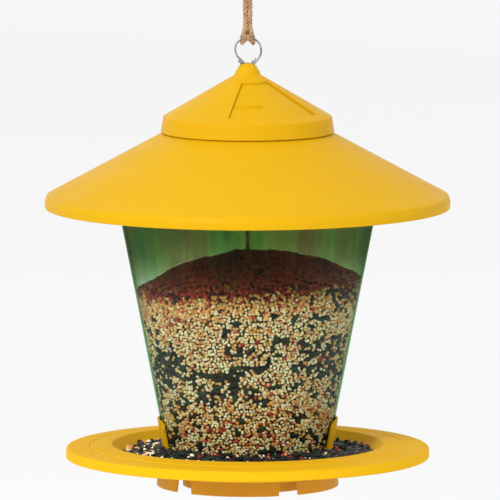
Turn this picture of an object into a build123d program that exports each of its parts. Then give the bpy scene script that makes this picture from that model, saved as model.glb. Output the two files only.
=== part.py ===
from build123d import *
import math
import os

# Hanging hopper bird feeder: a clear tapered seed hopper between a conical roof and a round seed tray.
#
# Millimetres, +Z up. Heights in this file are counted from the bottom of the foot. placed() then moves
# every piece down by HANG_Z, so that the origin is the point where the rope's top loop bears on its hook.
# Azimuths are counted from the front, -Y, towards +X.

HANG_Z = 439.0  # inside of the rope's top loop

# Wall thicknesses and gaps
ROOF_WALL = 2.3
CAP_WALL = 1.5
HOPPER_WALL = 1.6
TRAY_WALL = 2.0
MOVING_GAP = 0.3  # between a turning face and the face that it slides past
FIT_GAP = 0.05  # radial, between a screw or nut and its mate

# Foot and tray
FOOT_R = 73.0
FOOT_H = 14.0
FOOT_WALL = 2.6
FOOT_INNER_R = 49.8  # inside of the foot's inner wall
FOOT_FLANGE_T = 2.4
FOOT_ARCHES = 5
FIRST_ARCH = -45.0
ARCH_W = (18.0, 16.0)  # at the ground and at its top
ARCH_H = 10.6
FLOOR_TOP = FOOT_H + TRAY_WALL
TROUGH_R = 90.0  # of its floor
TROUGH_EDGE = (108.8, 33.6)  # radius and height of the edge where the flange ends
TRAY_R = 145.6
RIM_TOP = 30.6
RIM_LOW = 22.6
GROOVE_R = 126.0
GROOVE_DEPTH = 0.7

# Hopper
HOPPER_LOW = 33.0
HOPPER_TOP = 252.0
HOPPER_R = 66.3  # outside, at the low rim
HOPPER_FLARE = 0.194  # radius gained per unit of height

# Seed cone
CONE_R = 52.0
CONE_TOP = 44.0

# Clips that carry the hopper
CLIP_TOP = 54.0
CLIP_HALF_ANGLE = 19.0
CLIP_CORNER = 9.0
CLIP_T = 2.0
LEDGE_R = 63.5

# Roof
ROOF_R = 162.2
ROOF_LOW = 223.7
ROOF_SLOPE = 0.541
ROOF_SHOULDER = (159.8, 234.0)
NECK_R = 62.4
NECK_WALL = 2.2
NECK_TOP = 292.0

# Cap and its fill window
CAP_LOW = 284.3
CAP_SKIRT_R = 69.4
CAP_SHOULDER = (67.4, 296.9)
CAP_SLOPE = 0.587
DOME_R = 10.2
DOME_TOP = 339.7
DOME_SIDE = [(9.3, 333.8), (7.5, 337.4), (4.8, DOME_TOP)]  # radii and heights up the dome
BOSS_R = 9.0
BOSS_LOW = 316.0
WINDOW_R = (17.6, 60.0)
WINDOW_AZ = (-15.0, 66.0)
SHUTTER_R = 61.2
SHUTTER_T = 1.6
SHUTTER_AZ = (-19.0, 70.0)
RIB_R = (43.6, 45.6)
RIB_AZ = (-12.0, 13.0)
RIB_PROUD = 0.9
DOME_SLOT_W = 7.4

# Hanging ring, rod and rope
WIRE_D = 1.6
RING_R = 9.8
RING_Z = 350.6
RING_TAPER = 46.0  # degrees between the ring's straight lower runs and its middle line
RING_FOOT_R = 2.0  # of the bend at the bottom of its inner lap
LAP_STEP = 0.65 * WIRE_D  # the outer lap's centre is this much lower and its radius this much larger
LAP_BACK = 0.2  # from each end of the wire to where its straight run would meet the ring's arc
ROD_R = 1.6
ROD_LOW = 4.0
ROD_HOLE_R = ROD_R + 0.3
EYE_Z = 336.9  # between the two laps, at the bottom of the ring
EYE_HOLE_R = 2.15
EYE_R = 2.9
EYE_T = 1.8
ROPE_D = 4.0
LEG_X = 2.3
HITCH_Z = (355.5, 366.0)
HITCH_HALF = (6.5, 4.5)  # along X and along Y
KNOT_Z = (396.0, 410.0)
KNOT_R = 7.0

# Fasteners
SCREW_R = 1.5
SCREW_HEAD = (2.8, 2.0)  # radius and height
SCREW_TOP = 22.0
FOOT_SCREW_R = 57.0
CLIP_SCREW_R = 63.0
CLIP_SCREW_OFFSET = 12.0
FIRST_FOOT_SCREW = 54.0
SCREW_BOSS_R = 3.5
NUT_FLATS = 6.0
NUT_H = 3.0
WASHER_R = 6.0
WASHER_T = 1.0

# Seed
HEAP_LOW = 25.0
HEAP_WALL_Z = 162.0  # where its top meets the hopper
HEAP_PEAK_Z = 187.0
SEED_GAP = 0.5


def at_azimuth(radius, azimuth, height):
    """The point at a radius and an azimuth."""
    turn = math.radians(azimuth)
    return Vector(radius * math.sin(turn), -radius * math.cos(turn), height)


def outline(points, radii=0.0):
    """A closed face in the XZ plane through (radius, height) points, with its corners rounded."""
    return make_face(Plane.XZ * FilletPolyline(*points, radius=radii, close=True))


def turned(points, radii=0.0, azimuths=None):
    """The outline turned about Z, all the way round or between two azimuths."""
    face = outline(points, radii)
    if azimuths is None:
        return revolve(face, Axis.Z)
    start, end = azimuths
    return Rot(0, 0, start - 90) * revolve(face, Axis.Z, end - start)


def upright(radius, low, high):
    """A vertical cylinder about Z between two heights."""
    return Pos(0, 0, low) * Cylinder(radius, high - low, align=(Align.CENTER, Align.CENTER, Align.MIN))


def ring_of(shape, radius, azimuths):
    """Copies of a shape made at the origin, each moved out to one azimuth."""
    return [Pos(at_azimuth(radius, azimuth, 0)) * shape for azimuth in azimuths]


def placed(shape):
    """The shape moved from heights above the ground to the row's frame."""
    return Pos(0, 0, -HANG_Z) * shape


def roof_top(radius):
    return ROOF_SHOULDER[1] + (ROOF_SHOULDER[0] - radius) * ROOF_SLOPE


def roof_under(radius):
    return roof_top(radius) - ROOF_WALL * math.hypot(1, ROOF_SLOPE)


def cap_top(radius):
    return CAP_SHOULDER[1] + (CAP_SHOULDER[0] - radius) * CAP_SLOPE


def below_cap(radius, depth):
    """The height at a depth, square to the slope, under the cap's outer cone."""
    return cap_top(radius) - depth * math.hypot(1, CAP_SLOPE)


def hopper_outer(height):
    return HOPPER_R + (height - HOPPER_LOW) * HOPPER_FLARE


def hopper_inner(height):
    return hopper_outer(height) - HOPPER_WALL


# ---------------------------------------------------------------- tray, foot and hopper


FOOT_SCREW_AZ = [FIRST_FOOT_SCREW + k * 360 / FOOT_ARCHES for k in range(FOOT_ARCHES)]
CLIP_SCREW_AZ = [side + offset for side in (-90, 90) for offset in (-CLIP_SCREW_OFFSET, CLIP_SCREW_OFFSET)]


def screw_holes(low, high):
    """Clearance holes for all the tray's screws."""
    hole = upright(SCREW_R + FIT_GAP, low, high)
    return ring_of(hole, FOOT_SCREW_R, FOOT_SCREW_AZ) + ring_of(hole, CLIP_SCREW_R, CLIP_SCREW_AZ)


def flange_top(radius):
    """The flange rises a little from the rim to the edge of the trough."""
    edge_r, edge_z = TROUGH_EDGE
    return RIM_TOP + (TRAY_R - radius) / (TRAY_R - edge_r) * (edge_z - RIM_TOP)


def make_tray():
    rim_in = TRAY_R - TRAY_WALL - 0.2
    edge_r, edge_z = TROUGH_EDGE
    section = [
        (ROD_HOLE_R, FOOT_H),
        (TROUGH_R + 0.8, FOOT_H),
        (edge_r + 0.7, flange_top(edge_r) - TRAY_WALL - 0.2),
        (rim_in, flange_top(rim_in) - TRAY_WALL),
        (rim_in, RIM_LOW),
        (TRAY_R, RIM_LOW),
        (TRAY_R, RIM_TOP),
        (GROOVE_R + 1.4, flange_top(GROOVE_R + 1.4)),
        (GROOVE_R, flange_top(GROOVE_R) - GROOVE_DEPTH),
        (GROOVE_R - 1.4, flange_top(GROOVE_R - 1.4)),
        (edge_r, edge_z),
        (TROUGH_R, FLOOR_TOP),
        (ROD_HOLE_R, FLOOR_TOP),
    ]
    radii = [0, 4, 1.5, 1, 0, 0.8, 2.2, 0.3, 0.3, 0.3, 1.8, 3, 0]
    tray = turned(section, radii)
    boss = upright(SCREW_BOSS_R, FLOOR_TOP, SCREW_TOP - 1)
    tray += ring_of(boss, FOOT_SCREW_R, FOOT_SCREW_AZ)
    tray -= ring_of(upright(SCREW_R + FIT_GAP, 0, SCREW_TOP - 2), FOOT_SCREW_R, FOOT_SCREW_AZ)
    tray -= ring_of(upright(SCREW_R + FIT_GAP, 0, SCREW_TOP), CLIP_SCREW_R, CLIP_SCREW_AZ)
    return tray


def make_foot():
    """Two walls that hang from a flat flange. Arches open the outer wall."""
    flange_low = FOOT_H - FOOT_FLANGE_T
    inner = FOOT_INNER_R
    section = [
        (FOOT_R - FOOT_WALL, 0),
        (FOOT_R, 0),
        (FOOT_R - 1.2, FOOT_H),
        (inner, FOOT_H),
        (inner, 0),
        (inner + 2.2, 0),
        (inner + 2.2, flange_low),
        (FOOT_R - FOOT_WALL - 1.0, flange_low),
    ]
    foot = turned(section, [0.8, 0.8, 0, 0, 0.6, 0.6, 0.8, 1.5])
    wide, narrow = ARCH_W[0] / 2, ARCH_W[1] / 2
    arch_points = [(-wide, -1), (wide, -1), (narrow, ARCH_H), (-narrow, ARCH_H)]
    arch_face = make_face(Plane.XZ * FilletPolyline(*arch_points, radius=[0, 0, 2, 2], close=True))
    arch_depth = 14.0
    arch = Pos(0, -FOOT_R - 5, 0) * extrude(arch_face, -arch_depth)
    for k in range(FOOT_ARCHES):
        foot -= Rot(0, 0, FIRST_ARCH + k * 360 / FOOT_ARCHES) * arch
    foot -= screw_holes(-1, FOOT_H + 1)
    return foot


def make_screw(top):
    radius, height = SCREW_HEAD
    head_top = FOOT_H - FOOT_FLANGE_T
    head = upright(radius, head_top - height, head_top)
    head = fillet(head.edges().group_by(Axis.Z)[0], 0.8)
    slot = Pos(0, 0, head_top - height) * Box(2 * radius + 1, 0.8, 1.2)
    return head + upright(SCREW_R, head_top, top) - slot


def make_hopper():
    section = [
        (hopper_inner(HOPPER_LOW), HOPPER_LOW),
        (hopper_outer(HOPPER_LOW), HOPPER_LOW),
        (hopper_outer(HOPPER_TOP), HOPPER_TOP),
        (hopper_inner(HOPPER_TOP), HOPPER_TOP),
    ]
    return turned(section, 0.4)


def make_clip(middle):
    """A tab that hugs the outside of the hopper, with a ledge under the hopper's rim."""
    low_r = hopper_outer(HOPPER_LOW) + 0.3
    top_r = hopper_outer(CLIP_TOP) + 0.3
    section = [
        (LEDGE_R, FLOOR_TOP),
        (low_r + CLIP_T, FLOOR_TOP),
        (low_r + CLIP_T, HOPPER_LOW),
        (top_r + CLIP_T, CLIP_TOP),
        (top_r, CLIP_TOP),
        (low_r, HOPPER_LOW),
        (LEDGE_R, HOPPER_LOW),
    ]
    azimuths = (middle - CLIP_HALF_ANGLE, middle + CLIP_HALF_ANGLE)
    clip = turned(section, [0, 0, 4, 0.7, 0.7, 0, 0.7], azimuths)
    # The tab's two top corners are rounded by keeping what lies inside a rounded plate.
    half_width = (top_r + CLIP_T) * math.sin(math.radians(CLIP_HALF_ANGLE)) + 0.2
    plate_points = [(-half_width, 0), (half_width, 0), (half_width, CLIP_TOP), (-half_width, CLIP_TOP)]
    plate_radii = [0, 0, CLIP_CORNER, CLIP_CORNER]
    plate = make_face(Plane.XZ * FilletPolyline(*plate_points, radius=plate_radii, close=True))
    clip &= Rot(0, 0, middle) * extrude(plate, 2 * top_r)
    screw_az = [middle - CLIP_SCREW_OFFSET, middle + CLIP_SCREW_OFFSET]
    clip += ring_of(upright(SCREW_BOSS_R, FLOOR_TOP, SCREW_TOP + 2), CLIP_SCREW_R, screw_az)
    clip -= ring_of(upright(SCREW_R + FIT_GAP, 0, SCREW_TOP + 1), CLIP_SCREW_R, screw_az)
    return clip


def make_seed_cone():
    """The hollow cone that sends the seed outwards to the feed gap."""
    wall = 2.0
    flat_r = 6.0  # of the cone's flat top, round the rod
    section = [
        (CONE_R - wall, FLOOR_TOP),
        (CONE_R, FLOOR_TOP),
        (CONE_R - 1, FLOOR_TOP + 2.5),
        (flat_r, CONE_TOP),
        (ROD_HOLE_R, CONE_TOP),
        (ROD_HOLE_R, CONE_TOP - 3.5),
        (flat_r, CONE_TOP - 3.5),
    ]
    return turned(section, [0, 0, 1.5, 3, 0, 0, 2])


# ---------------------------------------------------------------- roof, cap and shutter


def make_roof():
    neck_in = NECK_R - NECK_WALL
    seat_in, seat_out, lip_out = 105.4, 110.4, 112.4
    lip_low = 246.0
    section = [
        (159.9, ROOF_LOW),
        (161.9, ROOF_LOW),
        (ROOF_R, 229.0),
        (160.9, roof_top(160.9)),
        (NECK_R, roof_top(NECK_R)),
        (NECK_R, NECK_TOP),
        (neck_in, NECK_TOP),
        (neck_in, roof_under(neck_in)),
        (seat_in, roof_under(seat_in)),
        (seat_in, HOPPER_TOP),
        (seat_out, HOPPER_TOP),
        (seat_out, lip_low),
        (lip_out, lip_low),
        (lip_out, roof_under(lip_out)),
        (158.4, roof_under(158.4)),
        (159.9, 229.0),
    ]
    radii = [0.6, 0.6, 1.5, 2.2, 2, 0.6, 0.6, 1, 1, 0, 0.5, 0.5, 0.5, 1, 1.5, 1]
    return turned(section, radii)


def make_cap():
    skirt_r, skirt_low = CAP_SKIRT_R, CAP_LOW
    shoulder_r, shoulder_z = CAP_SHOULDER
    wall_out, wall_in = NECK_R + 0.2, SHUTTER_R + 0.4
    section = [
        (ROD_HOLE_R, BOSS_LOW),
        (BOSS_R, BOSS_LOW),
        (BOSS_R, below_cap(BOSS_R, CAP_WALL)),
        (wall_in, below_cap(wall_in, CAP_WALL)),
        (wall_in, NECK_TOP),
        (wall_out, NECK_TOP),
        (wall_out, below_cap(wall_out, CAP_WALL)),
        (shoulder_r - CAP_WALL, below_cap(shoulder_r - CAP_WALL, CAP_WALL)),
        (skirt_r - CAP_WALL, skirt_low),
        (skirt_r, skirt_low),
        (shoulder_r, shoulder_z),
        (DOME_R, cap_top(DOME_R)),
        *DOME_SIDE,
        (ROD_HOLE_R, DOME_TOP),
    ]
    radii = [0.5, 0.5, 0.5, 0, 0.3, 0.3, 0, 0.6, 0.5, 0.6, 1.2, 0.8, 1.5, 1.5, 1.6, 0.2]
    cap = turned(section, radii)
    inner, outer = WINDOW_R
    window = turned([(inner, 290), (outer, 290), (outer, 340), (inner, 340)], 0, WINDOW_AZ)
    cap -= fillet(window.edges().filter_by(Axis.Z), 1.6)
    # The hanging ring lies across the dome in this slot.
    slot_low, slot_h = EYE_Z - EYE_R - 0.5, 20
    return cap - Pos(0, 0, slot_low + slot_h / 2) * Box(3 * DOME_R, DOME_SLOT_W, slot_h)


def make_shutter():
    """The conical leaf under the cap's window, with its hub ring and its thumb rib."""
    top_depth = CAP_WALL + MOVING_GAP
    low_depth = top_depth + SHUTTER_T
    hub_in, hub_out = BOSS_R + 0.2, BOSS_R + 3.2
    hub_depth = top_depth + 0.5
    leaf_in = hub_out - 0.8
    leaf = [
        (leaf_in, below_cap(leaf_in, top_depth)),
        (SHUTTER_R, below_cap(SHUTTER_R, top_depth)),
        (SHUTTER_R, below_cap(SHUTTER_R, low_depth)),
        (leaf_in, below_cap(leaf_in, low_depth)),
    ]
    hub = [
        (hub_in, below_cap(hub_in, hub_depth)),
        (hub_out, below_cap(hub_out, hub_depth)),
        (hub_out, BOSS_LOW + 2.5),
        (hub_in, BOSS_LOW + 2.5),
    ]
    inner, outer = RIB_R
    rib = [
        (inner, below_cap(inner, low_depth - 0.4)),
        (outer, below_cap(outer, low_depth - 0.4)),
        (outer, below_cap(outer, -RIB_PROUD)),
        (inner, below_cap(inner, -RIB_PROUD)),
    ]
    shutter = turned(leaf, 0, SHUTTER_AZ) + turned(hub, 0)
    return shutter + turned(rib, [0, 0, 0.6, 0.6], RIB_AZ)


def make_retainer():
    """A push-on ring on the cap's boss that holds up the shutter's hub."""
    low = BOSS_LOW + 0.8
    return turned([(BOSS_R, low), (13.0, low), (13.0, low + 1.3), (BOSS_R, low + 1.3)], [0, 0.3, 0.3, 0])


# ---------------------------------------------------------------- rod, nuts, ring and rope


def make_rod():
    eye = Pos(0, 0, EYE_Z) * Rot(0, 90, 0) * Cylinder(EYE_R, EYE_T)
    hole = Pos(0, 0, EYE_Z) * Rot(0, 90, 0) * Cylinder(EYE_HOLE_R, 3 * EYE_T)
    shank = upright(ROD_R, ROD_LOW, EYE_Z - EYE_HOLE_R - 0.3)
    shank = chamfer(shank.edges().group_by(Axis.Z)[0], 0.4)
    return shank + eye - hole


def make_washer(low):
    high = low + WASHER_T
    return turned([(ROD_HOLE_R, low), (WASHER_R, low), (WASHER_R, high), (ROD_HOLE_R, high)])


def make_hex_nut(low):
    body = extrude(RegularPolygon(NUT_FLATS / 2, 6, major_radius=False), NUT_H)
    return Pos(0, 0, low) * body - upright(ROD_R + FIT_GAP, low - 1, low + NUT_H + 1)


def make_wing_nut():
    top = FOOT_H - WASHER_T - 0.05
    low = top - 5.0
    bore = ROD_R + FIT_GAP
    hub = turned([(bore, low), (3.6, low), (4.4, top), (bore, top)], [0, 0.4, 0.3, 0])
    wing = [
        (2.6, low + 0.6),
        (3.4, low + 4.2),
        (8.0, low + 3.8),
        (11.5, low - 0.8),
        (10.5, low - 3.4),
        (7.0, low - 1.0),
    ]
    wing_face = make_face(Plane.XZ * FilletPolyline(*wing, radius=[0, 0, 1.5, 1.5, 1.2, 2], close=True))
    for turn in (0, 180):
        hub += Rot(0, 0, turn) * Pos(0, 0.9, 0) * extrude(wing_face, 1.8)
    return hub


def make_hanging_ring():
    """A pear-shaped split ring: its ends lap past each other below, and the rod's eye holds both laps."""
    taper = math.radians(RING_TAPER)
    across, down = math.cos(taper), math.sin(taper)
    start, turn = 180 + RING_TAPER, 180 - 2 * RING_TAPER  # the bend at the bottom
    outer_z, outer_r = RING_Z - LAP_STEP, RING_R + LAP_STEP
    foot_z = RING_Z - (RING_R - RING_FOOT_R) / down
    outer_foot_r = outer_r - (outer_z - foot_z) * down

    def left(radius, z, back=0.0):
        """Where a left-hand run meets its arc, or a little back along the run from there."""
        return (-radius * across + back * down, z - radius * down - back * across)

    def right(radius, z, back=0.0):
        x, height = left(radius, z, back)
        return (-x, height)

    path = [
        Line(left(RING_R, RING_Z, LAP_BACK), left(RING_FOOT_R, foot_z)),
        CenterArc((0, foot_z), RING_FOOT_R, start, turn),
        Line(right(RING_FOOT_R, foot_z), right(RING_R, RING_Z)),
        CenterArc((0, RING_Z), RING_R, -RING_TAPER, 90 + RING_TAPER),
        CenterArc((0, outer_z), outer_r, 90, 90 + RING_TAPER),
        Line(left(outer_r, outer_z), left(outer_foot_r, foot_z)),
        CenterArc((0, foot_z), outer_foot_r, start, turn),
        Line(right(outer_foot_r, foot_z), right(outer_r, outer_z, LAP_BACK)),
    ]
    wire = Plane.XZ * Wire([piece.edge() for piece in path])
    section = Plane(origin=wire @ 0, z_dir=wire % 0) * Circle(WIRE_D / 2)
    return Rot(0, 0, 180) * sweep(section, wire)


ROPE_ROUTE = [  # (x, height) of the points of the rope's route, in the XZ plane
    (-LEG_X, HITCH_Z[1]),
    (-LEG_X, 402.0),
    (-10.0, 422.0),
    (-8.5, 441.0),
    (8.5, 441.0),
    (10.0, 422.0),
    (LEG_X, 402.0),
    (LEG_X, HITCH_Z[1]),
]


def corner_radii(points):
    """For each inner point, the arc that uses 0.45 of its shorter run."""
    vectors = [Vector(x, 0, z) for x, z in points]
    radii = []
    for before, here, after in zip(vectors, vectors[1:], vectors[2:]):
        first, second = here - before, after - here
        half_turn = math.radians(first.get_angle(second)) / 2
        radii.append(0.45 * min(first.length, second.length) / math.tan(half_turn))
    return radii


def make_rope():
    radii = corner_radii(ROPE_ROUTE)
    path = Plane.XZ * FilletPolyline(*ROPE_ROUTE, radius=radii)
    section = Plane(origin=path @ 0, z_dir=path % 0) * Circle(ROPE_D / 2)
    rope = sweep(section, path)
    print("rope radii", [round(radius, 1) for radius in radii])
    print("rope length", round(path.length, 1), "volume / (section * length)",
          round(rope.volume / (math.pi * ROPE_D**2 / 4 * path.length), 4))
    return rope


def make_hitch():
    """The rope's turns round the top of the ring, as one plain block with room for the ring to swing."""
    half_x, half_y = HITCH_HALF
    low, high = HITCH_Z
    top_wire = RING_Z + RING_R
    block = Pos(0, 0, (low + high) / 2) * Box(2 * half_x, 2 * half_y, high - low)
    block = fillet(block.edges(), 2.0)
    funnel = Cone(1.2, 3.5, half_x)
    for turn in (90, -90):
        block -= Pos(0, 0, top_wire) * Rot(0, turn, 0) * Pos(0, 0, half_x / 2) * funnel
    return block


def make_knot(rope):
    low, high = KNOT_Z
    middle = (low + high) / 2
    points = [(0, low), (4.5, low), (KNOT_R, middle - 2.5), (KNOT_R, middle + 2.5), (4.5, high), (0, high)]
    return turned(points, [0, 1, 2, 2, 1, 0]) - rope


# ---------------------------------------------------------------- seed


def heap_top(share):
    """The heap's height at a share of the way from the rod to the hopper's wall."""
    return HEAP_PEAK_Z - (HEAP_PEAK_Z - HEAP_WALL_Z) * share**2


def make_seed_heap():
    """The seed that fills the hopper, as one plain body round the rod with a domed top."""
    inside = ROD_R + SEED_GAP
    wall_r = hopper_inner(HEAP_WALL_Z) - SEED_GAP
    section = [
        (inside, CONE_TOP + SEED_GAP),
        (7.0, CONE_TOP + SEED_GAP),
        (46.0, HEAP_LOW),
        (LEDGE_R - SEED_GAP, HEAP_LOW),
        (LEDGE_R - SEED_GAP, HOPPER_LOW),
        (hopper_inner(HOPPER_LOW + 1) - SEED_GAP, HOPPER_LOW + 1),
    ]
    section += [(wall_r * share, heap_top(share)) for share in (1, 0.85, 0.7, 0.5, 0.25)]
    return turned(section + [(inside, HEAP_PEAK_Z)])


def make_tray_seed():
    """The seed that lies in the trough round the hopper."""
    inside = hopper_outer(HOPPER_LOW) + CLIP_T + 0.3 + SEED_GAP
    low = FLOOR_TOP + 0.2
    section = [
        (inside, low),
        (TROUGH_R - SEED_GAP, low),
        (98.0, 24.2),
        (inside, 27.5),
    ]
    return turned(section)


def main():
    os.makedirs("parts", exist_ok=True)
    rope = make_rope()
    nodes = {
        "hanging_rope": rope,
        "rope_hitch": make_hitch(),
        "rope_knot": make_knot(rope),
        "hanging_ring": make_hanging_ring(),
        "center_rod": make_rod(),
        "roof_cap": make_cap(),
        "fill_shutter": make_shutter(),
        "shutter_retainer": make_retainer(),
        "roof": make_roof(),
        "hopper": make_hopper(),
        "tray": make_tray(),
        "seed_cone": make_seed_cone(),
        "hopper_clip_left": make_clip(-90),
        "hopper_clip_right": make_clip(90),
        "foot_ring": make_foot(),
        "foot_screws": Compound(ring_of(make_screw(SCREW_TOP - 3), FOOT_SCREW_R, FOOT_SCREW_AZ)),
        "clip_screws": Compound(ring_of(make_screw(SCREW_TOP), CLIP_SCREW_R, CLIP_SCREW_AZ)),
        "upper_washer": make_washer(FLOOR_TOP),
        "upper_nut": make_hex_nut(FLOOR_TOP + WASHER_T),
        "tray_washer": make_washer(FOOT_H - WASHER_T),
        "wing_nut": make_wing_nut(),
        "seed_heap": make_seed_heap(),
        "seed_in_tray": make_tray_seed(),
    }
    for name, shape in nodes.items():
        export_step(placed(shape), f"parts/{name}.step")


main()
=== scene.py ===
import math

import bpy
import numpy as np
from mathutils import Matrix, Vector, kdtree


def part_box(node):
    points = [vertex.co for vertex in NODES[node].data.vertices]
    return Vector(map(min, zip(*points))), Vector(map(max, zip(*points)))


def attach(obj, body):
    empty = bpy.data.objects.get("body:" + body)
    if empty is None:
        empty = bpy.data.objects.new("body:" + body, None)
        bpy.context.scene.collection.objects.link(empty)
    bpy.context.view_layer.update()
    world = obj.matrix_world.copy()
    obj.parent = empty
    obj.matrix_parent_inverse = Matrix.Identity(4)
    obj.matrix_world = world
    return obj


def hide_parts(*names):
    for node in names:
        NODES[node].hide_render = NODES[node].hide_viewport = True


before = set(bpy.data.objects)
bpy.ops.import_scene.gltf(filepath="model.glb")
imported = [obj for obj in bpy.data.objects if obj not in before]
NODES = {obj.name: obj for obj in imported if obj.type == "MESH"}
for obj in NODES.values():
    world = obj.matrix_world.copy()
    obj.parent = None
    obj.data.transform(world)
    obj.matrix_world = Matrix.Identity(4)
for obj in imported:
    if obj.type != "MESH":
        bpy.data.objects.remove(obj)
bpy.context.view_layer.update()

# The looks of a hanging hopper bird feeder: rope, seed and materials round the CAD frame.
#
# The scene is in metres, +Z up and -Y to the front. Places of seed and rope are worked out in millimetres,
# with heights counted from the foot's lower edge, and place(), high() and to_row() convert them.

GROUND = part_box("foot_ring")[0][2]
MM = 0.001
SEED = 20240607

# Sizes that the looks share with the CAD, in millimetres
HOPPER_LOW = 33.0
HOPPER_R_IN = 64.7  # inside, at the low rim
HOPPER_FLARE = 0.194  # growth of its radius with height
HEAP_WALL_Z = 162.0  # where the heap's top meets the hopper
HEAP_PEAK_Z = 187.0
ROD_R = 1.6
FLOOR_TOP = 16.0
TROUGH_R = 90.0  # of its floor
TROUGH_EDGE = (108.8, 33.6)  # radius and height of the edge where the flange begins
ROPE_D = 4.0
RING_TOP_Z = 360.4

# The heap's rim stands this much higher towards one azimuth, and as much lower opposite it
HEAP_LEAN = 6.0
HEAP_LEAN_AZ = -0.35

# The strands make one turn in this many metres of rope
ROPE_LAY = 0.0095

# Lengths, widths and thicknesses of seed, in millimetres
HUSK_SIZE = (11.0, 4.6, 3.6)
MILLET_SIZE = (2.35, 2.2, 2.2)
MILO_SIZE = (3.3, 3.0, 2.7)
TOP_MILO_SIZE = (3.15, 2.85, 2.6)
TRAY_HUSK_SIZE = (10.5, 4.8, 3.4)
TRAY_GRAIN_SIZE = (2.6, 2.3, 2.1)


def high(height):
    """A height above the foot's lower edge, in the row's frame."""
    return GROUND + height * MM


def place(x, y, height):
    """A point in millimetres, with its height counted from the foot's lower edge."""
    return Vector((x * MM, y * MM, high(height)))


def hopper_in(height):
    """The hopper's inner radius at a height, in millimetres."""
    return HOPPER_R_IN + (height - HOPPER_LOW) * HOPPER_FLARE


# ---------------------------------------------------------------- camera, light and floor


def make_camera():
    """A long lens in front and slightly above."""
    aim = place(1.9, 0, 189.3)
    elevation = math.radians(6.75)
    distance = 8.0
    data = bpy.data.cameras.new("camera")
    data.sensor_width = 36.0
    data.lens = 720.0
    data.clip_end = 100.0
    camera = bpy.data.objects.new("camera", data)
    camera.location = aim + Vector((0, -math.cos(elevation), math.sin(elevation))) * distance
    camera.rotation_euler = (math.pi / 2 - elevation, 0, 0)
    bpy.context.scene.collection.objects.link(camera)
    bpy.context.scene.camera = camera


def make_light(name, location, size, power):
    """A round white lamp that faces the feeder."""
    data = bpy.data.lights.new(name, "AREA")
    data.shape = "DISK"
    data.size = size
    data.energy = power
    lamp = bpy.data.objects.new(name, data)
    lamp.location = location
    lamp.rotation_euler = (place(0, 0, 180) - lamp.location).to_track_quat("-Z", "Y").to_euler()
    bpy.context.scene.collection.objects.link(lamp)


def make_studio():
    """Pale surroundings, a soft key from the upper left, a fill, and a plain pale floor well below."""
    world = bpy.data.worlds.new("studio")
    world.use_nodes = True
    background = world.node_tree.nodes["Background"]
    background.inputs["Color"].default_value = (1, 1, 1, 1)
    background.inputs["Strength"].default_value = 1.0
    bpy.context.scene.world = world
    make_light("key", Vector((-1.3, -2.3, 1.6)), 0.8, 56)
    make_light("fill", Vector((2.2, -2.4, 0.2)), 1.6, 6)
    bpy.context.scene.view_settings.view_transform = "Standard"

    half_side = 60.0
    level = GROUND - 0.6
    corners = [(x * half_side, y * half_side, level) for x, y in ((-1, -1), (1, -1), (1, 1), (-1, 1))]
    mesh = bpy.data.meshes.new("floor")
    mesh.from_pydata(corners, [], [(0, 1, 2, 3)])
    floor = bpy.data.objects.new("floor", mesh)
    bpy.context.scene.collection.objects.link(floor)
    mesh.materials.append(plain_floor())


# ---------------------------------------------------------------- material helpers


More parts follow.
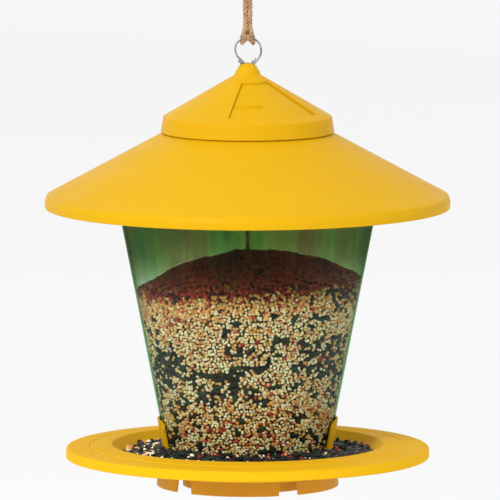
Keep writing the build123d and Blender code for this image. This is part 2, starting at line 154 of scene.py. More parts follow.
class Shading:
    """A new material with short calls for its nodes."""

    def __init__(self, name):
        self.material = bpy.data.materials.new(name)
        self.material.use_nodes = True
        self.nodes = self.material.node_tree.nodes
        self.links = self.material.node_tree.links
        self.shader = self.nodes["Principled BSDF"]
        self.place = self.nodes.new("ShaderNodeTexCoord").outputs["Object"]

    def set(self, **values):
        for name, value in values.items():
            self.shader.inputs[name.replace("_", " ")].default_value = value

    def join(self, source, target):
        self.links.new(source, target)

    def scaled(self, x, y, z):
        """The object's own coordinates stretched along each axis."""
        node = self.nodes.new("ShaderNodeMapping")
        node.inputs["Scale"].default_value = (x, y, z)
        self.join(self.place, node.inputs["Vector"])
        return node.outputs["Vector"]

    def noise(self, scale, detail=2.0, rough=0.5, vector=None):
        node = self.nodes.new("ShaderNodeTexNoise")
        node.inputs["Scale"].default_value = scale
        node.inputs["Detail"].default_value = detail
        node.inputs["Roughness"].default_value = rough
        self.join(self.place if vector is None else vector, node.inputs["Vector"])
        return node.outputs["Fac"]

    def ramp(self, factor, stops):
        """A colour ramp with (position, (r, g, b)) stops."""
        node = self.nodes.new("ShaderNodeValToRGB")
        elements = node.color_ramp.elements
        while len(elements) < len(stops):
            elements.new(0.5)
        for element, (position, colour) in zip(elements, stops):
            element.position = position
            element.color = (*colour, 1)
        self.join(factor, node.inputs["Fac"])
        return node.outputs["Color"]

    def span(self, factor, low, high, start=0.0, end=1.0):
        """The factor mapped from start..end to low..high, and clamped."""
        node = self.nodes.new("ShaderNodeMapRange")
        for name, value in (("From Min", start), ("From Max", end), ("To Min", low), ("To Max", high)):
            node.inputs[name].default_value = value
        self.join(factor, node.inputs["Value"])
        return node.outputs["Result"]

    def mix(self, factor, first, second, kind="MIX"):
        """A mix of two colours, each a socket or a plain colour."""
        node = self.nodes.new("ShaderNodeMix")
        node.data_type = "RGBA"
        node.blend_type = kind
        for socket, value in ((node.inputs[0], factor), (node.inputs[6], first), (node.inputs[7], second)):
            if isinstance(value, bpy.types.NodeSocket):
                self.join(value, socket)
            else:
                socket.default_value = value if isinstance(value, float) else (*value, 1)
        return node.outputs[2]

    def bump(self, height, strength, distance, under=None):
        node = self.nodes.new("ShaderNodeBump")
        node.inputs["Strength"].default_value = strength
        node.inputs["Distance"].default_value = distance
        self.join(height, node.inputs["Height"])
        if under is not None:
            self.join(under, node.inputs["Normal"])
        return node.outputs["Normal"]

    def attribute(self, name, output="Color"):
        node = self.nodes.new("ShaderNodeAttribute")
        node.attribute_name = name
        return node.outputs[output]

    def base(self, colour):
        self.join(colour, self.shader.inputs["Base Color"])

    def roughness(self, value):
        self.join(value, self.shader.inputs["Roughness"])

    def normal(self, value):
        self.join(value, self.shader.inputs["Normal"])


def plain_floor():
    """Matt, nearly white paper."""
    shading = Shading("floor_paper")
    tone = shading.noise(0.6, 2)
    shading.base(shading.ramp(tone, [(0.3, (0.90, 0.90, 0.90)), (0.7, (0.93, 0.93, 0.93))]))
    shading.set(Roughness=0.9)
    return shading.material


# ---------------------------------------------------------------- materials


def yellow_plastic(name, light, deep, rough, shine):
    """Moulded plastic: two close yellows, faint flow marks, a fine orange-peel skin and light scuffs."""
    shading = Shading(name)
    cloudy = shading.noise(7, 3)
    flow = shading.noise(30, 4, 0.6, shading.scaled(1, 1, 0.25))
    colour = shading.ramp(cloudy, [(0.3, deep), (0.7, light)])
    paler = shading.span(flow, 0.0, 0.35, 0.45, 0.8)
    colour = shading.mix(paler, colour, tuple(min(1.0, c * 1.06) for c in light))
    scuffs = shading.noise(160, 5, 0.7, shading.scaled(1, 1, 0.3))
    marks = shading.span(scuffs, 0.0, 0.5, 0.66, 0.8)
    colour = shading.mix(marks, colour, tuple(c * 0.8 for c in deep))
    shading.base(colour)
    shading.roughness(shading.span(shading.noise(45, 4), rough - 0.05, rough + 0.09, 0.3, 0.7))
    skin = shading.bump(shading.noise(900, 2), 0.12, 0.0002)
    shading.normal(shading.bump(shading.noise(60, 2), 0.10, 0.0004, skin))
    shading.set(IOR=1.46, Specular_IOR_Level=shine)
    return shading.material


def zinc_steel():
    """Bright drawn wire with fine lengthwise scratches and a few dull patches."""
    shading = Shading("zinc_steel")
    dull = shading.noise(350, 4, 0.6)
    shading.base(shading.ramp(dull, [(0.35, (0.16, 0.16, 0.17)), (0.65, (0.42, 0.43, 0.45))]))
    shading.roughness(shading.span(dull, 0.42, 0.22, 0.3, 0.7))
    shading.normal(shading.bump(shading.noise(2500, 3), 0.15, 0.0001))
    shading.set(Metallic=1.0)
    return shading.material


def jute(name):
    """Twisted jute: tan fibres, with painted shade in the gaps between them and painted highlights on paler
    hairs.
    """
    shading = Shading(name)
    fibres = shading.noise(1500, 5, 0.7, shading.scaled(1, 1, 0.35))
    patches = shading.noise(120, 3)
    # The ramp's dark end is painted shade in the gaps between fibres and its pale end is painted highlight,
    # round the fibres' own tan.
    colour = shading.ramp(fibres, [(0.30, (0.13, 0.050, 0.020)), (0.48, (0.42, 0.240, 0.12)),
                                   (0.66, (0.74, 0.55, 0.34))])
    shade = shading.ramp(patches, [(0.3, (0.72, 0.60, 0.52)), (0.7, (1.0, 1.0, 1.0))])
    shading.base(shading.mix(0.8, colour, shade, "MULTIPLY"))
    shading.normal(shading.bump(fibres, 0.9, 0.0004))
    shading.set(Roughness=0.85, Sheen_Weight=0.25, Sheen_Roughness=0.5)
    return shading.material


def seed_coat():
    """Each seed's own colour, with a mottled husk."""
    shading = Shading("seed_coat")
    mottle = shading.noise(1100, 3, 0.6)
    tone = shading.ramp(mottle, [(0.3, (0.72, 0.68, 0.62)), (0.65, (1.0, 1.0, 1.0))])
    shading.base(shading.mix(1.0, shading.attribute("seed_colour"), tone, "MULTIPLY"))
    shading.roughness(shading.span(mottle, 0.32, 0.5, 0.3, 0.7))
    shading.normal(shading.bump(mottle, 0.25, 0.0002))
    shading.set(Specular_IOR_Level=0.3)
    return shading.material


def sunflower_coat():
    """Black husks with faint grey-green stripes along each seed."""
    shading = Shading("sunflower_coat")
    stripes = shading.nodes.new("ShaderNodeTexNoise")
    stripes.noise_dimensions = "1D"
    stripes.inputs["Scale"].default_value = 9.0
    stripes.inputs["Detail"].default_value = 3.0
    shading.join(shading.attribute("around", "Fac"), stripes.inputs["W"])
    tone = shading.ramp(stripes.outputs["Fac"], [(0.50, (1.0, 1.0, 1.0)), (0.70, (4.5, 4.5, 3.8))])
    shading.base(shading.mix(1.0, shading.attribute("seed_colour"), tone, "MULTIPLY"))
    shading.roughness(shading.span(shading.noise(500, 3), 0.30, 0.48, 0.3, 0.7))
    shading.normal(shading.bump(stripes.outputs["Fac"], 0.4, 0.0002))
    shading.set(Specular_IOR_Level=0.14)
    return shading.material


def seed_shadow():
    """What shows between the outer seeds: more seed, in shade."""
    shading = Shading("seed_shadow")
    cells = shading.nodes.new("ShaderNodeTexVoronoi")
    cells.inputs["Scale"].default_value = 420.0
    shading.join(shading.place, cells.inputs["Vector"])
    from_centre = cells.outputs["Distance"]
    grains = shading.ramp(from_centre, [(0.2, (0.12, 0.055, 0.03)), (0.8, (0.022, 0.011, 0.008))])
    drifts = shading.ramp(shading.noise(200), [(0.4, (0.022, 0.014, 0.012)), (0.6, (0.15, 0.07, 0.035))])
    shading.base(shading.mix(0.5, grains, drifts))
    shading.normal(shading.bump(from_centre, 0.8, 0.001))
    shading.set(Roughness=0.8)
    return shading.material


def hopper_plastic():
    """Green plastic: clear against the seed, and above it streaked deep green with painted shade for the
    dark space seen through it. Its thickness absorbs light.
    """
    shading = Shading("hopper_plastic")
    streaks = shading.noise(24, 3, 0.6, shading.scaled(1, 1, 0.05))
    fine = shading.noise(140, 3, 0.6, shading.scaled(1, 1, 0.04))
    # The deep greens are painted shade for the dark, shaded space seen through the wall.
    broad_shade_green = shading.ramp(streaks, [(0.36, (0.38, 0.56, 0.33)), (0.47, (0.50, 0.61, 0.34)),
                                        (0.60, (0.57, 0.51, 0.34))])
    fine_shade_green = shading.ramp(fine, [(0.35, (0.36, 0.42, 0.31)), (0.65, (0.82, 0.88, 0.66))])
    deep = shading.mix(0.22, broad_shade_green, fine_shade_green)
    clear = (0.98, 0.99, 0.96)
    height = shading.nodes.new("ShaderNodeSeparateXYZ")
    shading.join(shading.place, height.inputs[0])
    # Painted shade: the plastic turns to the deep green only above the seed's line.
    above = shading.span(height.outputs["Z"], 0.0, 1.0, high(HEAP_WALL_Z - 10), high(HEAP_PEAK_Z + 2))
    see = shading.nodes.new("ShaderNodeBsdfTransparent")
    shading.join(shading.mix(above, clear, deep), see.inputs["Color"])

    gloss = shading.nodes.new("ShaderNodeBsdfGlossy")
    gloss.inputs["Roughness"].default_value = 0.12
    ripple = shading.bump(shading.noise(40, 2, 0.5, shading.scaled(1, 1, 0.3)), 0.15, 0.0006)
    shading.join(ripple, gloss.inputs["Normal"])
    grazing = shading.nodes.new("ShaderNodeLayerWeight")
    grazing.inputs["Blend"].default_value = 0.3
    surface = shading.nodes.new("ShaderNodeMixShader")
    shading.join(shading.span(grazing.outputs["Facing"], 0.004, 0.05), surface.inputs[0])
    shading.join(see.outputs[0], surface.inputs[1])
    shading.join(gloss.outputs[0], surface.inputs[2])

    absorb = shading.nodes.new("ShaderNodeVolumeAbsorption")
    absorb.inputs["Color"].default_value = (0.0, 0.36, 0.05, 1)
    absorb.inputs["Density"].default_value = 85.0
    shading.nodes.remove(shading.shader)
    shading.join(surface.outputs[0], shading.nodes["Material Output"].inputs["Surface"])
    shading.join(absorb.outputs[0], shading.nodes["Material Output"].inputs["Volume"])
    return shading.material


# ---------------------------------------------------------------- mesh helpers


def mesh_piece(name, vertices, faces, material, body):
    """A smooth mesh piece that rides on a body."""
    mesh = bpy.data.meshes.new(name)
    vertices = np.asarray(vertices, np.float32)
    faces = np.asarray(faces, np.int32)
    count, sides = faces.shape
    mesh.vertices.add(len(vertices))
    mesh.vertices.foreach_set("co", vertices.ravel())
    mesh.loops.add(count * sides)
    mesh.loops.foreach_set("vertex_index", faces.ravel())
    mesh.polygons.add(count)
    mesh.polygons.foreach_set("loop_start", np.arange(0, count * sides, sides, dtype=np.int32))
    mesh.polygons.foreach_set("use_smooth", np.ones(count, bool))
    mesh.update(calc_edges=True)
    mesh.validate()
    mesh.materials.append(material)
    piece = bpy.data.objects.new(name, mesh)
    bpy.context.scene.collection.objects.link(piece)
    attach(piece, body)
    return piece


def smooth_line(points):
    """The points of the smooth NURBS line that has these control points."""
    curve = bpy.data.curves.new("line", "CURVE")
    curve.dimensions = "3D"
    spline = curve.splines.new("NURBS")
    spline.points.add(len(points) - 1)
    for control, point in zip(spline.points, points):
        control.co = (*point, 1)
    spline.order_u = 3
    spline.use_endpoint_u = True
    spline.resolution_u = 16
    holder = bpy.data.objects.new("line", curve)
    mesh = bpy.data.meshes.new_from_object(holder)
    line = np.array([vertex.co for vertex in mesh.vertices])
    bpy.data.meshes.remove(mesh)
    bpy.data.objects.remove(holder)
    bpy.data.curves.remove(curve)
    return line


def evenly(line, step):
    """The line's points set a step apart."""
    along = np.concatenate([[0], np.cumsum(np.linalg.norm(np.diff(line, axis=0), axis=1))])
    count = max(2, int(round(along[-1] / step)) + 1)
    at = np.linspace(0, along[-1], count)
    return np.stack([np.interp(at, along, line[:, axis]) for axis in range(3)], axis=1)


def frames_along(line):
    """Two unit vectors square to the line at each point, carried along without twist."""
    tangents = np.gradient(line, axis=0)
    tangents /= np.linalg.norm(tangents, axis=1)[:, None]
    side = np.cross(tangents[0], (0.3, 1.0, 0.1))
    sides = []
    for tangent in tangents:
        side = side - tangent * side.dot(tangent)
        side = side / np.linalg.norm(side)
        sides.append(side)
    sides = np.array(sides)
    return sides, np.cross(tangents, sides)


def tube(line, radii, sides):
    """A closed round tube along a line, with an even number of sides: vertices and quads."""
    first, second = frames_along(line)
    turn = np.linspace(0, 2 * np.pi, sides, endpoint=False)
    ring = np.cos(turn)[None, :, None] * first[:, None] + np.sin(turn)[None, :, None] * second[:, None]
    radii = np.broadcast_to(np.asarray(radii, float), (len(line),))
    vertices = (line[:, None] + ring * radii[:, None, None]).reshape(-1, 3)
    rows = np.arange(len(line) - 1)[:, None] * sides
    column = np.arange(sides)[None]
    following = (column + 1) % sides
    above = rows + sides
    quads = np.stack([rows + column, rows + following, above + following, above + column], -1)
    fans = []
    for start in (0, (len(line) - 1) * sides):
        for k in range(1, sides - 1, 2):
            corners = [start, start + k, start + k + 1, start + k + 2]
            fans.append(corners[::-1] if start == 0 else corners)
    return vertices, np.concatenate([quads.reshape(-1, 4), np.array(fans)])


def joined(parts):
    """Several (vertices, faces) as one."""
    vertices, faces, start = [], [], 0
    for part_vertices, part_faces in parts:
        vertices.append(part_vertices)
        faces.append(np.asarray(part_faces) + start)
        start += len(part_vertices)
    return np.concatenate(vertices), np.concatenate(faces)


# ---------------------------------------------------------------- rope, hitch and knot


# The rope's route in millimetres: up one leg and round the top loop. The other leg mirrors the first.
LEG = [(-1.9, -0.5, 366), (-1.7, -1.3, 371), (-1.8, 0.9, 378), (-1.7, -1.3, 385), (-1.8, 0.9, 392),
       (-2.3, 0, 400)]
LOOP = [(-2.3, 0, 403), (-10, 0, 422), (-8.5, 0, 441), (8.5, 0, 441), (10, 0, 422), (2.3, 0, 403)]

# The hitch's route in millimetres from the ring's top. The first lay crosses in front of the ring and goes
# under it. The rope then passes behind, comes back under on the other side and ends with the second lay.
FIRST_LAY = [(-1.9, -0.5, 8.4), (-2.9, -1.0, 5.8), (-3.6, -3.8, 2.4), (0, -5.6, -0.4), (3.8, -4.2, -3.0)]
UNDER = [(4.6, -0.4, -5.2), (4.4, 3.6, -3.2), (4.2, 4.2, 1.8)]
BEHIND = (0, 3.8, 3.6)
SECOND_LAY = [(1.9, 0.5, 8.4), (2.9, -0.4, 5.8), (3.6, -2.8, 2.4), (0, -3.1, -0.4), (-3.8, -3.4, -3.0)]


def rope_route():
    """The points of the rope's route: up one leg, round the top loop and down the other."""
    other = [(-x, -y, height) for x, y, height in reversed(LEG)]
    return [place(*point) for point in LEG + LOOP + other]


def strands(line, radius):
    """Three uneven strands laid round a line, each a tube."""
    first, second = frames_along(line)
    along = np.concatenate([[0], np.cumsum(np.linalg.norm(np.diff(line, axis=0), axis=1))])
    draw = np.random.default_rng(SEED)
    count, knots, sides = 3, 30, 10
    offset_share, radius_share, unevenness = 0.52, 0.54, 0.06
    parts = []
    for k in range(count):
        angle = 2 * np.pi * (along / ROPE_LAY + k / count)
        offset = np.cos(angle)[:, None] * first + np.sin(angle)[:, None] * second
        uneven = 1 + unevenness * np.interp(along, np.linspace(0, along[-1], knots), draw.normal(size=knots))
        parts.append(tube(line + offset * radius * offset_share, radius * radius_share * uneven, sides))
    return parts


def hairs(line, radius, count, reach, draw):
    """Fine loose fibres that stand off a rope."""
    thickest = 0.00007
    first, second = frames_along(line)
    parts = []
    for _ in range(count):
        k = draw.integers(4, len(line) - 4)
        angle = draw.uniform(0, 2 * np.pi)
        out = np.cos(angle) * first[k] + np.sin(angle) * second[k]
        along = line[k + 1] - line[k - 1]
        along = along / np.linalg.norm(along) * draw.choice([-1, 1])
        across = np.cross(out, along)
        size = draw.uniform(0.4, 1.0) * reach
        share = np.linspace(0, 1, 6)[:, None]
        curl = draw.uniform(-0.6, 0.6)
        fibre = line[k] + out * (radius * 0.8 + size * 0.55 * share**0.7) + along * size * 1.6 * share
        fibre = fibre + across * size * curl * share**2
        parts.append(tube(fibre, thickest * (1.1 - share[:, 0] * 0.7), 4))
    return parts


def make_rope():
    """The rope, and the line along its middle."""
    line = smooth_line(rope_route())
    fine = evenly(line, 0.0007)
    draw = np.random.default_rng(SEED + 1)
    radius = ROPE_D / 2 * MM
    vertices, faces = joined(strands(fine, radius) + hairs(fine, radius, 110, 0.0024, draw))
    rope = mesh_piece("rope", vertices, faces, jute("jute"), "hanger")
    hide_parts("hanging_rope")
    return rope, evenly(line, 0.002)


def make_hitch(material):
    """The rope's turns round the ring: two lays cross in front of it, and meet behind."""
    behind = UNDER + [BEHIND] + [(-x, y, z) for x, y, z in reversed(UNDER)]
    points = [place(x, y, RING_TOP_Z + z) for x, y, z in FIRST_LAY + behind + SECOND_LAY[::-1]]
    line = evenly(smooth_line(points), 0.0006)
    draw = np.random.default_rng(SEED + 2)
    radius = ROPE_D / 2 * MM * 0.85
    vertices, faces = joined(strands(line, radius) + hairs(line, radius, 34, 0.0018, draw))
    hitch = mesh_piece("hitch", vertices, faces, material, "hanger")
    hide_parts("rope_hitch")
    return hitch


def make_knot(material):
    """The knot above the view: turns of the rope's end wound round both legs."""
    low, high_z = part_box("rope_knot")[0][2] / MM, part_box("rope_knot")[1][2] / MM
    middle, turns, steps = (low + high_z) / 2, 3, 12
    span = high_z - low - ROPE_D
    coil_r, belly = 4.7, 0.25
    points = []
    for k in range(turns * steps + 1):
        angle = 2 * math.pi * k / steps
        height = low + ROPE_D / 2 + span * k / (turns * steps)
        radius = coil_r + belly * math.cos((height - middle) / span * math.pi)
        points.append(Vector((radius * math.cos(angle), radius * math.sin(angle), height)) * MM)
    line = evenly(smooth_line(points), 0.0006)
    draw = np.random.default_rng(SEED + 3)
    strand_radius = ROPE_D / 2 * MM * 0.92
    vertices, faces = joined(strands(line, strand_radius) + hairs(line, strand_radius, 30, 0.0015, draw))
    knot = mesh_piece("knot", vertices, faces, material, "hanger")
    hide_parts("rope_knot")
    return knot


# ---------------------------------------------------------------- seed


def seed_shape(rings, sides, size, point):
    """One seed about the origin, long along X: vertices, triangles and each vertex's share round it."""
    length, width, thick = size
    vertices = [(-length / 2, 0, 0)]
    around = [0.0]
    taper = 0.28
    for i in range(1, rings):
        share = i / rings
        x = -length / 2 * math.cos(math.pi * share)
        profile = math.sin(math.pi * share) ** point * (1.0 - taper * (share - 0.5))
        for j in range(sides):
            angle = 2 * math.pi * j / sides
            y = width / 2 * profile * math.cos(angle)
            z = thick / 2 * profile * math.sin(angle)
            vertices.append((x, y, z))
            around.append(abs(2 * j / sides - 1))
    vertices.append((length / 2, 0, 0))
    around.append(0.5)
    last = len(vertices) - 1
    triangles = []
    for j in range(sides):
        following = (j + 1) % sides
        triangles.append((0, 1 + following, 1 + j))
        for i in range(rings - 2):
            a, b = 1 + i * sides + j, 1 + i * sides + following
            triangles += [(a, b, b + sides), (a, b + sides, a + sides)]
        start = last - sides
        triangles.append((last, start + j, start + following))
    return np.array(vertices), np.array(triangles), np.array(around)


def scatter(name, shape, places, turns, sizes, colours, material):
    """Copies of a seed as one piece, each with its own place, turn, size and colour."""
    vertices, triangles, around = shape
    count, corners = len(places), len(vertices)
    spread = np.einsum("nij,vj->nvi", turns, vertices) * sizes[:, None, None] + places[:, None]
    faces = (triangles[None] + (np.arange(count) * corners)[:, None, None]).reshape(-1, 3)
    piece = mesh_piece(name, spread.reshape(-1, 3), faces, material, "feeder")
    colour = piece.data.attributes.new("seed_colour", "FLOAT_COLOR", "POINT")
    rgba = np.concatenate([colours, np.ones((count, 1))], axis=1)
    colour.data.foreach_set("color", np.repeat(rgba, corners, axis=0).ravel())
    # Each seed starts its stripes elsewhere in the noise.
    share = piece.data.attributes.new("around", "FLOAT", "POINT")
    start = np.repeat(np.arange(count) * 3.7, corners)
    share.data.foreach_set("value", np.tile(around, count) + start)


def lay_on(normals, flat, draw, level=0.0):
    """Turns that lay each seed on a surface: its Z near the normal, its X at any angle, or nearly level."""
    count = len(normals)
    tilted = normals + draw.normal(size=(count, 3)) * flat
    tilted /= np.linalg.norm(tilted, axis=1)[:, None]
    across = np.cross(normals, (0.0, 0.0, 1.0))
    random = draw.normal(size=(count, 3)) + level * across
    along = random - tilted * np.sum(random * tilted, axis=1)[:, None]
    along /= np.linalg.norm(along, axis=1)[:, None]
    return np.stack([along, np.cross(tilted, along), tilted], axis=2)


def tinted(palette, weights, count, draw):
    """A colour for each seed, from a palette with a little variation."""
    colours = np.array(palette)[draw.choice(len(palette), count, p=np.array(weights) / sum(weights))]
    colours = colours * draw.normal(1.0, 0.13, (count, 1))
    colours = colours * draw.normal(1.0, 0.03, (count, 3))
    return np.clip(colours, 0.004, 1)


# Colours of seed
CREAM = (0.98, 0.64, 0.36)
PALE = (1.00, 0.86, 0.66)
TAN = (0.78, 0.40, 0.14)
ORANGE = (0.76, 0.29, 0.09)
# The next red is a brighter copy of the milo red, used on the heap's top: painted light against the shade
# there.
LIT_BRICK = (1.00, 0.135, 0.11)
RED = (0.62, 0.055, 0.050)
MAROON = (0.13, 0.014, 0.014)
BLACK = (0.008, 0.009, 0.009)
GREENISH = (0.013, 0.020, 0.015)


def wall_spots(spacing, low, high_z, draw):
    """Jittered (azimuth, height) spots all over the hopper's inside, about a spacing apart."""
    jitter = 0.22 * spacing
    row_step = 0.87 * spacing
    spots = []
    height, row = low, 0
    while height < high_z:
        radius = hopper_in(height) - 1.2
        count = int(2 * math.pi * radius / spacing)
        azimuths = (np.arange(count) + 0.5 * (row % 2)) * 2 * math.pi / count
        azimuths = azimuths + draw.normal(0, jitter / radius, count)
        heights = height + draw.normal(0, jitter, count)
        spots.append(np.stack([azimuths, heights], axis=1))
        height += row_step
        row += 1
    return np.concatenate(spots)


def wall_points(spots, depth):
    """Points a depth inside the hopper's wall at (azimuth, height) spots, and its outward normals."""
    radius = hopper_in(spots[:, 1]) - depth
    around = np.stack([np.cos(spots[:, 0]), np.sin(spots[:, 0])], axis=1)
    points = np.concatenate([around * radius[:, None], spots[:, 1:]], axis=1)
    normals = np.concatenate([around, np.full((len(spots), 1), -HOPPER_FLARE)], axis=1)
    return points, normals / np.linalg.norm(normals, axis=1)[:, None]


def heap_top(radius, azimuth):
    """The heap's height in millimetres: a dome that leans a little, higher on the right."""
    share = np.clip(radius / hopper_in(HEAP_WALL_Z), 0, 1)
    lean = HEAP_LEAN * share * np.cos(azimuth - HEAP_LEAN_AZ)
    return HEAP_PEAK_Z - (HEAP_PEAK_Z - HEAP_WALL_Z) * share**1.9 + lean


def to_row(points):
    """Points in millimetres above the foot, in the row's frame."""
    return points * MM + np.array([0, 0, GROUND])


def band(height, azimuth):
    """How deep a spot lies in the hopper's layers, from 0 at the top to 1 at the foot, with wavy edges."""
    top = heap_top(hopper_in(HEAP_WALL_Z), azimuth)
    wave = 4.0 * np.sin(2 * azimuth + 0.7) + 2.5 * np.sin(5 * azimuth + height * 0.05)
    fade = np.clip((top - height) / 20, 0, 1)
    return np.clip((top - height - wave * fade) / (HEAP_WALL_Z - 30.0), 0, 1)


def husk_chance(azimuths, heights, depth):
    """How likely sunflower is at spots on the wall: by layer, in drifts, more of it at the sides."""
    chance = np.interp(depth, [0, 0.12, 0.28, 0.40, 0.60, 0.70, 0.85, 1],
                       [0, 0.02, 0.10, 0.38, 0.46, 0.16, 0.06, 0.22])
    drift = np.sin(3 * azimuths + heights * 0.09) + np.sin(7 * azimuths - heights * 0.13 + 1.1)
    sides = 1 + 2.0 * np.cos(azimuths) ** 4
    clump_az, clump_depth = 5.85, 0.06
    clump = 1.3 * np.exp(-((azimuths - clump_az) / 0.36) ** 2 - ((depth - clump_depth) / 0.10) ** 2)
    return chance * np.clip(1 + 0.45 * drift, 0.05, 3) * sides + clump


def make_wall_sunflower(dark, draw):
    """The sunflower seed pressed against the clear wall, and its places and turns."""
    spots = wall_spots(6.0, 31.0, HEAP_WALL_Z + HEAP_LEAN, draw)
    spots = spots[spots[:, 1] < heap_top(hopper_in(HEAP_WALL_Z), spots[:, 0]) - 3]
    chance = husk_chance(spots[:, 0], spots[:, 1], band(spots[:, 1], spots[:, 0]))
    spots = spots[draw.random(len(spots)) < chance]
    points, normals = wall_points(spots, draw.uniform(1.9, 2.7, len(spots)))
    turns = lay_on(normals, 0.10, draw, level=1.4)
    shape = seed_shape(8, 10, HUSK_SIZE, 0.75)
    colours = tinted([BLACK, GREENISH, MAROON], [6, 3, 0.3], len(spots), draw)
    sizes = draw.uniform(0.82, 1.12, len(spots))
    scatter("wall_sunflower", shape, to_row(points), turns, sizes * MM, colours, dark)
    return points, turns


def clear_of(husks, turns, points):
    """Which points no husk lies over."""
    tree = kdtree.KDTree(len(husks))
    for index, husk in enumerate(husks):
        tree.insert(husk, index)
    tree.balance()
    reach, half_length, half_width, covered = 6.5, 5.8, 2.7, 0.62
    keep = np.ones(len(points), bool)
    for k, point in enumerate(points):
        for centre, index, _ in tree.find_range(point, reach):
            local = turns[index].T @ (point - np.array(centre))
            if (local[0] / half_length) ** 2 + (local[1] / half_width) ** 2 < covered:
                keep[k] = False
                break
    return keep


def make_wall_small_seed(coat, husks, turns, draw):
    """Millet and milo that fill the wall wherever no husk lies over it."""
    spots = wall_spots(2.6, 30.0, HEAP_WALL_Z + HEAP_LEAN, draw)
    spots = spots[spots[:, 1] < heap_top(hopper_in(HEAP_WALL_Z), spots[:, 0]) + 0.6]
    points, normals = wall_points(spots, draw.uniform(1.1, 1.6, len(spots)))
    keep = clear_of(husks, turns, points)
    spots, points, normals = spots[keep], points[keep], normals[keep]
    depth = band(spots[:, 1], spots[:, 0])
    milo_share = np.interp(depth, [0, 0.06, 0.13, 0.22, 0.6, 0.75, 0.9, 1],
                           [1, 0.85, 0.55, 0.10, 0.08, 0.30, 0.35, 0.15])
    milo = draw.random(len(spots)) < milo_share + 0.05

    count = int((~milo).sum())
    colours = tinted([CREAM, PALE, TAN], [5, 4, 1.2], count, draw)
    laid = lay_on(normals[~milo], 0.5, draw)
    sizes = draw.uniform(0.92, 1.12, count)
    scatter("wall_millet", seed_shape(5, 7, MILLET_SIZE, 0.55), to_row(points[~milo]), laid, sizes * MM,
            colours, coat)

    count = int(milo.sum())
    red_share = np.interp(depth[milo], [0, 0.02, 0.06, 0.2, 1], [0.90, 0.55, 0.10, 0.10, 0.26])
    tans = tinted([TAN, ORANGE, CREAM], [6, 3, 2], count, draw)
    reds = tinted([RED, MAROON], [3, 1], count, draw)
    colours = np.where((draw.random(count) < red_share)[:, None], reds * 0.8, tans)
    laid = lay_on(normals[milo], 0.5, draw)
    sizes = draw.uniform(0.8, 1.0, count)
    scatter("wall_milo", seed_shape(6, 8, MILO_SIZE, 0.55), to_row(points[milo]), laid, sizes * MM,
            colours, coat)


def top_spots(wall, draw):
    """Jittered azimuths and radii in rings over the heap's top."""
    spacing, row_step = 2.9, 2.45
    rows = []
    radius = ROD_R + 1.6
    while radius < wall:
        count = max(6, int(2 * math.pi * radius / spacing))
        azimuths = np.arange(count) * 2 * math.pi / count + draw.uniform(0, 1)
        radii = radius + draw.normal(0, 0.3, count)
        rows.append(np.stack([azimuths + draw.normal(0, 0.5, count) / radius, radii], axis=1))
        radius += row_step
    spots = np.concatenate(rows)
    spots = spots[spots[:, 1] < wall]
    return spots[:, 0], spots[:, 1]


def make_top_seed(coat):
    """Red milo over the heap's top, its red lightened with painted light, darker at its rim, with a dimple
    round the rod.
    """
    draw = np.random.default_rng(SEED + 20)
    wall = hopper_in(HEAP_WALL_Z) - 1.5
    azimuths, radii = top_spots(wall, draw)
    count = len(radii)
    lumps = 0.9 * np.sin(azimuths * 3 + radii * 0.11) + 0.7 * np.sin(azimuths * 5 - radii * 0.2)
    dimple_depth, dimple_r, rim_width = 4.0, 9, 14
    dimple = dimple_depth * np.exp(-((radii / dimple_r) ** 2))
    lumps = lumps * np.clip((wall - radii) / 12, 0, 1) - dimple
    heights = heap_top(radii, azimuths) + lumps + draw.normal(0, 0.35, count)
    points = np.stack([radii * np.cos(azimuths), radii * np.sin(azimuths), heights], axis=1)
    normals = np.stack([0.3 * np.cos(azimuths), 0.3 * np.sin(azimuths), np.ones(count)], axis=1)
    near_rim = np.clip((radii - wall + rim_width) / rim_width, 0, 1)
    reds = tinted([LIT_BRICK, RED, MAROON, TAN], [9, 3, 0.9, 0.3], count, draw)
    rim = tinted([TAN, MAROON, RED], [1.5, 5, 4], count, draw)
    colours = np.where((draw.random(count) < 0.9 * near_rim)[:, None], rim, reds)
    turns = lay_on(normals, 0.45, draw)
    sizes = draw.uniform(0.85, 1.2, count)
    scatter("top_milo", seed_shape(6, 8, TOP_MILO_SIZE, 0.6), to_row(points), turns, sizes * MM,
            colours, coat)


def lathe(name, profile, lump, material, node):
    """A lumpy closed body of revolution through (radius, height) points in millimetres."""
    draw = np.random.default_rng(SEED + 30)
    sides, step, smooth_r = 160, 4, 8
    outline = []
    for start, end in zip(profile, profile[1:] + profile[:1]):
        steps = max(1, int(math.dist(start, end) / step))
        for k in range(steps):
            outline.append([np.interp(k / steps, [0, 1], pair) for pair in zip(start, end)])
    outline = np.array(outline)
    turn = np.linspace(0, 2 * np.pi, sides, endpoint=False)
    lumpy = outline[:, :1] > smooth_r
    radii = outline[:, :1] + lump * draw.normal(size=(len(outline), sides)) * lumpy
    heights = outline[:, 1:] + lump * draw.normal(size=(len(outline), sides)) * lumpy
    vertices = np.stack([radii * np.cos(turn), radii * np.sin(turn), heights], axis=2).reshape(-1, 3)
    rows = np.arange(len(outline))[:, None]
    column = np.arange(sides)[None]
    this, below = rows * sides, (rows + 1) % len(outline) * sides
    following = (column + 1) % sides
    quads = np.stack([this + column, this + following, below + following, below + column], -1)
    piece = mesh_piece(name, to_row(vertices), quads.reshape(-1, 4), material, "feeder")
    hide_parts(node)
    return piece


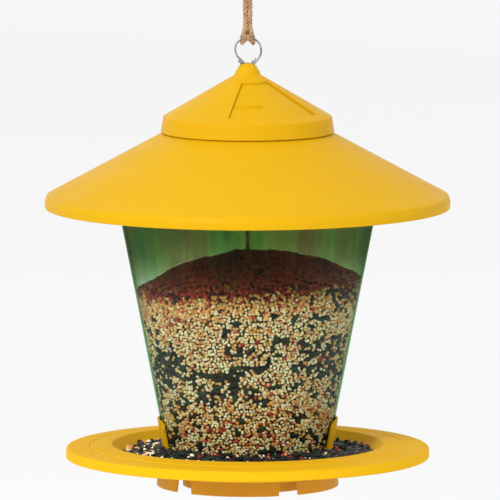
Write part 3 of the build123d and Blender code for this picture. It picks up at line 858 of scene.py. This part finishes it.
def make_heap_core(material):
    """The seed behind the outer layer, leaning as the heap's top does."""
    inset = 2.6
    low_r = hopper_in(34) - inset - 0.4
    profile = [(ROD_R + 0.6, 46.0), (8.0, 46.0), (46.0, 26.0), (60.0, 26.0), (low_r, 34.0)]
    for share in (1, 0.85, 0.7, 0.5, 0.25):
        radius = (hopper_in(HEAP_WALL_Z) - inset) * share
        profile.append((radius, float(heap_top(radius, math.pi / 2)) - 1.4))
    profile += [(9.0, HEAP_PEAK_Z - 4.0), (ROD_R + 0.6, HEAP_PEAK_Z - 7.0)]
    core = lathe("heap_core", profile, 0.25, material, "seed_heap")
    lean_low, lean_rise = 120, 40
    for vertex in core.data.vertices:
        x, y, z = vertex.co
        share = math.hypot(x, y) / (hopper_in(HEAP_WALL_Z) * MM)
        raised = np.clip((z - high(lean_low)) / (lean_rise * MM), 0, 1)
        vertex.co.z += raised * HEAP_LEAN * MM * share * math.cos(math.atan2(y, x) - HEAP_LEAN_AZ)


def tray_level(radii, azimuths):
    """The top of the seed in the trough: banked against the hopper, and lower towards the back."""
    front = 0.5 - 0.5 * np.sin(azimuths)
    return np.interp(radii, [66.0, 74.0, 104.0], [30.5, 27.0, 24.5]) + 2.2 * (front - 0.6)


def tray_spots(count, outer, spread, draw):
    """Places in the trough, closer together near the hopper, all held clear of its sloping wall."""
    inner, clearance = 66.5, 2.2
    radii = inner + (outer - inner) * draw.random(count) ** spread
    azimuths = draw.uniform(0, 2 * math.pi, count)
    heights = tray_level(radii, azimuths) + draw.uniform(-0.6, 1.4, count)
    slope = np.interp(radii, [TROUGH_R, TROUGH_EDGE[0]], [FLOOR_TOP, TROUGH_EDGE[1]])
    heights = np.maximum(heights, slope + clearance)
    return np.stack([radii * np.cos(azimuths), radii * np.sin(azimuths), heights], axis=1)


def lay_in_trough(points, flat, draw):
    """Turns that lay seeds level, and along the trough's sloping wall near its edge."""
    wall_rise = 0.94  # for each millimetre outwards
    lean_width = 6
    radii = np.linalg.norm(points[:, :2], axis=1)[:, None]
    lean = np.clip((radii - TROUGH_R) / lean_width, 0, 1)
    normals = np.concatenate([-wall_rise * lean * points[:, :2] / radii, np.ones_like(radii)], axis=1)
    normals /= np.linalg.norm(normals, axis=1)[:, None]
    return lay_on(normals, flat * (1 - 0.6 * lean), draw)


def make_tray_seed(coat, dark, shadow):
    """Husks and small seed in the trough round the hopper, with pale husks at the left."""
    inner = 62.0
    profile = [(inner, 17.0), (89.0, 17.0), (97.0, 23.0), (inner, 26.0)]
    lathe("tray_core", profile, 0.3, shadow, "seed_in_tray")

    draw = np.random.default_rng(SEED + 40)
    count = 1400
    points = tray_spots(count, 98.0, 0.95, draw)
    husks = tinted([BLACK, GREENISH, MAROON], [6, 3, 0.5], count, draw)
    left = np.clip(-points[:, 0] / 100, 0, 1) ** 3
    pale = tinted([PALE, CREAM, TAN], [3, 2, 2], count, draw)
    colours = np.where((draw.random(count) < 0.35 * left)[:, None], pale * 0.7, husks)
    turns = lay_in_trough(points, 0.35, draw)
    sizes = draw.uniform(0.75, 1.1, count)
    scatter("tray_sunflower", seed_shape(8, 10, TRAY_HUSK_SIZE, 0.75), to_row(points), turns, sizes * MM,
            colours, dark)

    count = 620
    points = tray_spots(count, 99.5, 1.0, draw)
    colours = tinted([CREAM, PALE, TAN, RED], [3, 3, 2, 2], count, draw)
    turns = lay_in_trough(points, 0.5, draw)
    sizes = draw.uniform(0.85, 1.25, count)
    scatter("tray_small_seed", seed_shape(5, 7, TRAY_GRAIN_SIZE, 0.6), to_row(points), turns, sizes * MM,
            colours, coat)


# ---------------------------------------------------------------- the CAD's own pieces


def paint(material, *names):
    """Gives CAD nodes a material."""
    for name in names:
        for slot in NODES[name].material_slots:
            slot.material = material


def main():
    make_camera()
    rope, rope_line = make_rope()
    rope_material = rope.data.materials[0]
    hitch = make_hitch(rope_material)
    knot = make_knot(rope_material)
    make_studio()

    paint(yellow_plastic("yellow_plastic", (0.62, 0.350, 0.003), (0.60, 0.328, 0.003), 0.42, 0.07),
          "roof", "roof_cap", "fill_shutter", "hopper_clip_left", "hopper_clip_right")
    # The tray's plastic is a brighter copy of the roof's yellow: painted light that lifts its flange out of
    # the roof's shade.
    paint(yellow_plastic("lit_tray_plastic", (0.76, 0.430, 0.006), (0.73, 0.400, 0.006), 0.60, 0.05),
          "tray", "seed_cone")
    # The foot's plastic is a darker, browner copy of the yellow: painted shade for its place under the tray.
    paint(yellow_plastic("shaded_foot_plastic", (0.59, 0.295, 0.022), (0.53, 0.240, 0.018), 0.5, 0.10),
          "foot_ring")
    paint(zinc_steel(), "hanging_ring", "center_rod", "shutter_retainer", "foot_screws", "clip_screws",
          "upper_washer", "upper_nut", "tray_washer", "wing_nut")
    paint(hopper_plastic(), "hopper")

    coat, dark, shadow = seed_coat(), sunflower_coat(), seed_shadow()
    draw = np.random.default_rng(SEED + 10)
    husks, turns = make_wall_sunflower(dark, draw)
    make_wall_small_seed(coat, husks, turns, draw)
    make_top_seed(coat)
    make_heap_core(shadow)
    make_tray_seed(coat, dark, shadow)


main()
